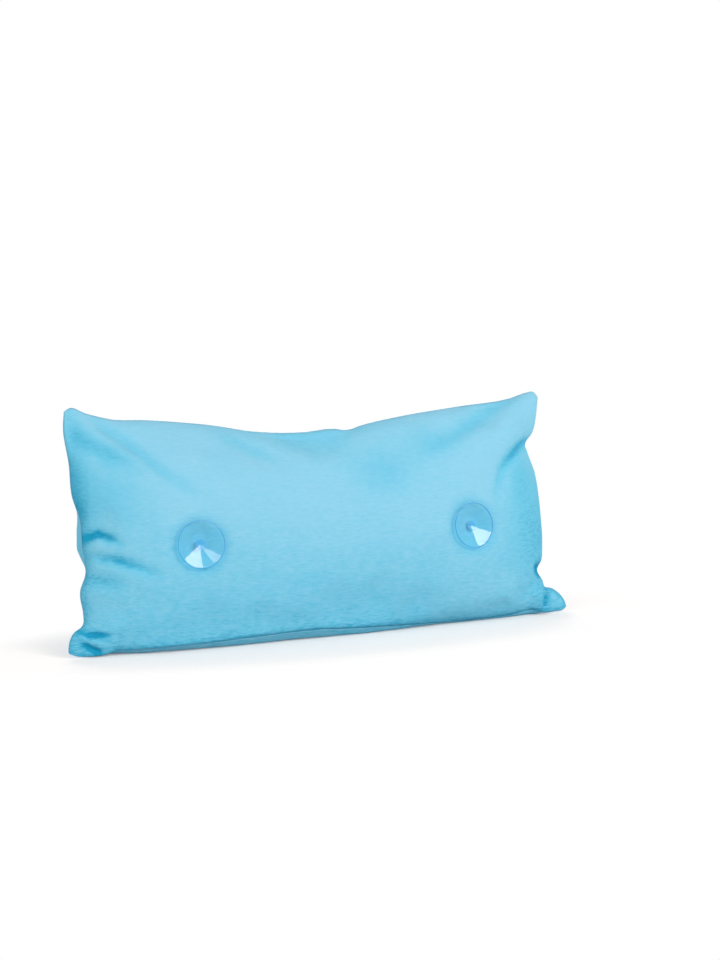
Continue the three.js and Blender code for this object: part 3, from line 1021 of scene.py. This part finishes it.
def inset_grid(cover, depth, pocket):
    """A coarser grid inside the cover, which stops short of the seam, with room for the cups' heads."""
    inside = cover.edge_distance > BAG_MARGIN
    rows = np.where(inside[:, inside.shape[1] // 2])[0][::FINER]
    columns = np.where(inside[inside.shape[0] // 2])[0][::FINER]
    points = cover.under_folds(depth)[np.ix_(rows, columns)]
    return seated(points, pocket) if cover.facing > 0 else points


def bag_layer(front_cover, rear_cover, depth, pocket):
    """Both grids of a layer of the bag, with their borders moved to the middle between them."""
    front = inset_grid(front_cover, depth, pocket)
    rear = inset_grid(rear_cover, depth, 0)
    border = np.ones(front.shape[:2], bool)
    border[1:-1, 1:-1] = False
    middle = (front[border] + rear[border]) / 2
    front[border] = middle + FRONTWARD * LAYER_GAP / 2
    rear[border] = middle - FRONTWARD * LAYER_GAP / 2
    return front, rear


def cone_height(radius):
    return CONE_APEX + (LIP_PLANE - CONE_APEX) * radius / (RIM_RADIUS - LIP_WIDTH)


def cup_profile():
    collar_edge = COLLAR_FOOT + (COLLAR_RADIUS - NECK_RADIUS) * math.tan(ROCK_RELIEF)
    outside = rounded([
        (0, HEAD_BACK),
        (HEAD_RADIUS - HEAD_CHAMFER, HEAD_BACK + HEAD_DOME),
        (HEAD_RADIUS, HEAD_FRONT - HEAD_CHAMFER),
        (HEAD_RADIUS - HEAD_CHAMFER, HEAD_FRONT),
        (NECK_RADIUS, HEAD_FRONT),
        (NECK_RADIUS, COLLAR_FOOT - NECK_TURN),
        (NECK_RADIUS, COLLAR_FOOT),
        (COLLAR_RADIUS, collar_edge),
        (COLLAR_RADIUS, collar_edge + COLLAR_THICKNESS),
        (RIM_RADIUS, LIP_PLANE - RIM_THICKNESS),
        (RIM_RADIUS, LIP_PLANE),
        (RIM_RADIUS - LIP_WIDTH, LIP_PLANE),
        (CONE_RINGS[0], cone_height(CONE_RINGS[0])),
    ], CUP_ROUNDING)
    return outside + [(radius, cone_height(radius)) for radius in CONE_RINGS[1:]]


def ring_profile(corners, radius):
    """A closed profile with rounded corners, from the middle of its bore round to there again."""
    middle = np.mean([corners[0], corners[-1]], axis=0)
    return rounded([middle, *corners, middle], radius)


def patch_profile():
    return ring_profile([
        (NECK_HOLE_RADIUS, PATCH_BACK),
        (PATCH_FLAT, PATCH_BACK),
        (PATCH_RADIUS, PATCH_BACK + PATCH_LIFT),
        (PATCH_RADIUS, PATCH_FRONT + PATCH_LIFT),
        (PATCH_FLAT, PATCH_FRONT),
        (NECK_HOLE_RADIUS, PATCH_FRONT),
    ], PATCH_ROUNDING)


def washer_profile():
    dish = (WASHER_RADIUS - WASHER_BORE) * math.tan(ROCK_RELIEF)
    return ring_profile([
        (WASHER_BORE, WASHER_BACK),
        (WASHER_RADIUS, WASHER_BACK),
        (WASHER_RADIUS, WASHER_FRONT - dish),
        (WASHER_BORE, WASHER_FRONT),
    ], WASHER_ROUNDING)


def with_pip(cup, seat):
    """Raises the small moulding pip on the back of the bell."""
    spot = seat.at(PIP_RADIUS, PIP_ANGLE, 0)
    for vertex in cup.data.vertices:
        place = np.array(vertex.co) / MM
        away = place - spot
        height = away @ seat.axis
        reach = np.linalg.norm(away - height * seat.axis)
        if reach < 2 * PIP_REACH and height < LIP_PLANE - PIP_DEPTH:
            vertex.co -= Vector(seat.axis * PIP_HEIGHT * math.exp(-((reach / PIP_REACH) ** 2)) * MM)
    return cup


def build_cover():
    u = crowded(GRID_COLUMNS)
    v = crowded(GRID_ROWS)
    front = panel_form(u, v, 1, 0)
    rear = panel_form(u, v, -1, 0)
    drifts = drift_of(front, rear)
    return Cover(1, drifts[0], FRONT_FOLDS), Cover(-1, drifts[1], REAR_FOLDS)


def build_pillow():
    front, rear = build_cover()
    pile = plush()
    plush_front = cover_panel("plush_front", front, pile, list(SEATS.values()))
    plush_rear = cover_panel("plush_rear", rear, pile, [])
    declared(plush_front, "pillow", "cover_front_panel")
    declared(plush_rear, "pillow", "cover_rear_panel")

    middle = (front.outer + rear.outer) / 2
    loop = np.concatenate([middle[0, :-1], middle[:-1, -1], middle[-1, :0:-1], middle[:0:-1, 0]])
    stitching = thread_loop("seam_stitching", loop, sewing_thread())
    declared(stitching, "pillow", "seam_thread")

    cloth = bag_cloth()
    bag_depth = PLUSH_WALL + LAYER_GAP
    fill_depth = bag_depth + BAG_WALL + LAYER_GAP
    outer = bag_layer(front, rear, bag_depth, POCKET_FLOOR)
    inner = bag_layer(front, rear, bag_depth + BAG_WALL, POCKET_FLOOR - BAG_WALL)
    bag_front = solid_between("inner_bag_front", outer[0], inner[0], 1, cloth)
    bag_rear = solid_between("inner_bag_rear", outer[1], inner[1], -1, cloth)
    declared(bag_front, "pillow", "liner_front")
    declared(bag_rear, "pillow", "liner_rear")

    fill_front = inset_grid(front, fill_depth, POCKET_FLOOR - BAG_WALL - LAYER_GAP)
    fill_rear = inset_grid(rear, fill_depth, 0)
    filling = solid_between("fibre_filling", fill_front, fill_rear, 1, loose_fibre())
    declared(filling, "pillow", "filling_core")


def build_cups():
    vinyl = clear_vinyl()
    thick = thick_vinyl("thick_vinyl", VINYL_THICK)
    edge = thick_vinyl("edge_vinyl", VINYL_EDGE)
    cloth = woven_patch()
    plastic = washer_plastic()
    for side, seat in SEATS.items():
        cup = with_pip(turned(f"{side}_clear_cup", cup_profile(), seat, vinyl), seat)
        cup.data.materials.append(thick)
        cup.data.materials.append(edge)
        for face in cup.data.polygons:
            height, radius = seat.height_and_radius(np.array(face.center) / MM)
            in_neck = height < COLLAR_FOOT or radius < DEEP_CENTRE
            on_rim = radius > RIM_RADIUS - DEEP_RIM
            face.material_index = 1 if in_neck else 2 if on_rim else 0
        declared(cup, f"{side}_cup", f"{side}_suction_cup")
        patch = turned(f"{side}_patch", patch_profile(), seat, cloth)
        declared(patch, "pillow", f"{side}_backing_patch")
        washer = turned(f"{side}_washer", washer_profile(), seat, plastic)
        declared(washer, f"{side}_retainer", f"{side}_retaining_washer")


# Studio
def direction(azimuth, elevation):
    flat = math.cos(elevation)
    return Vector((math.sin(azimuth) * flat, -math.cos(azimuth) * flat, math.sin(elevation)))


def soft_box(name, place, face, brightness, tilt, lights):
    """A rectangular lamp that looks at the pillow, tilted in the plane of its face."""
    azimuth, elevation, distance = place
    width, height = face
    lamp = bpy.data.lights.new(name, "AREA")
    lamp.shape = "RECTANGLE"
    lamp.size = width
    lamp.size_y = height
    lamp.energy = brightness * math.pi * width * height
    back = direction(math.radians(azimuth), math.radians(elevation))
    holder = bpy.data.objects.new(name, lamp)
    holder.location = LAMP_AIM + back * distance
    turn = back.to_track_quat("Z", "Y") @ Quaternion((0, 0, 1), math.radians(tilt))
    holder.rotation_euler = turn.to_euler()
    holder.visible_glossy = lights != "cloth"
    holder.visible_diffuse = lights != "gloss"
    if lights == "gloss":
        lamp.color = GLEAM_COLOUR
    scene.collection.objects.link(holder)


def seen_directly(tree):
    """1 for rays from the camera, from gloss or through the clear cups, and 0 for scattered light."""
    path = add_node(tree, "LightPath")
    seen = combined(tree, "MAXIMUM", path.outputs["Is Camera Ray"], path.outputs["Is Glossy Ray"])
    return combined(tree, "MAXIMUM", seen, path.outputs["Is Transmission Ray"])


def pale_world():
    world = bpy.data.worlds.new("studio")
    scene.world = world
    world.use_nodes = True
    tree = world.node_tree
    strength = scaled(tree, seen_directly(tree), WORLD_SCATTERED, WORLD_SEEN)
    tree.links.new(strength, tree.nodes["Background"].inputs["Strength"])
    set_inputs(tree.nodes["Background"], {"Color": WHITE})


def pale_floor():
    """White where it is seen, with the pillow's shadow near it, and darker for scattered light."""
    material, tree, unused = new_material("pale_floor")
    tree.nodes.remove(unused)
    lit = add_node(tree, "BsdfDiffuse", {"Color": FLOOR_NEAR})
    glow = add_node(tree, "Emission", {"Color": FLOOR_GLOW})
    near = add_node(tree, "AddShader")
    tree.links.new(lit.outputs[0], near.inputs[0])
    tree.links.new(glow.outputs[0], near.inputs[1])
    far = add_node(tree, "Emission", {"Color": WHITE})
    shares = add_node(tree, "Mapping", {"Scale": (1 / SHADOW_LENGTH, 1 / SHADOW_DEPTH, 0)})
    distance = add_node(tree, "VectorMath", operation="LENGTH")
    place_in_frame(tree, shares)
    tree.links.new(shares.outputs["Vector"], distance.inputs[0])
    fade = add_node(tree, "MapRange", interpolation_type="SMOOTHSTEP")
    set_inputs(fade, {"From Min": SHADOW_END[0], "From Max": SHADOW_END[1]})
    tree.links.new(distance.outputs["Value"], fade.inputs["Value"])
    shown = mixed_shader(tree, fade.outputs["Result"], near, far)
    dull = add_node(tree, "BsdfDiffuse", {"Color": FLOOR_DULL})
    mix = mixed_shader(tree, seen_directly(tree), dull, shown)
    tree.links.new(mix.outputs[0], tree.nodes["Material Output"].inputs["Surface"])
    corners = [(x * FLOOR_HALF, y * FLOOR_HALF, 0) for x, y in ((-1, -1), (1, -1), (1, 1), (-1, 1))]
    mesh_object("studio_floor", corners, [[0, 1, 2, 3]], material)


def build_camera():
    lens = bpy.data.cameras.new("photo_camera")
    lens.sensor_width = SENSOR
    lens.lens = FOCAL_PIXELS * SENSOR / PHOTO_HEIGHT
    back = direction(CAMERA_AZIMUTH, CAMERA_ELEVATION)
    camera = bpy.data.objects.new("photo_camera", lens)
    camera.location = CAMERA_TARGET + back * CAMERA_DISTANCE
    camera.rotation_euler = back.to_track_quat("Z", "Y").to_euler()
    scene.collection.objects.link(camera)
    scene.camera = camera


def build_studio():
    scene.view_settings.view_transform = "Standard"
    for name, settings in LAMPS.items():
        soft_box(name, *settings)
    pale_world()
    pale_floor()
    build_camera()


build_studio()
build_pillow()
build_cups()
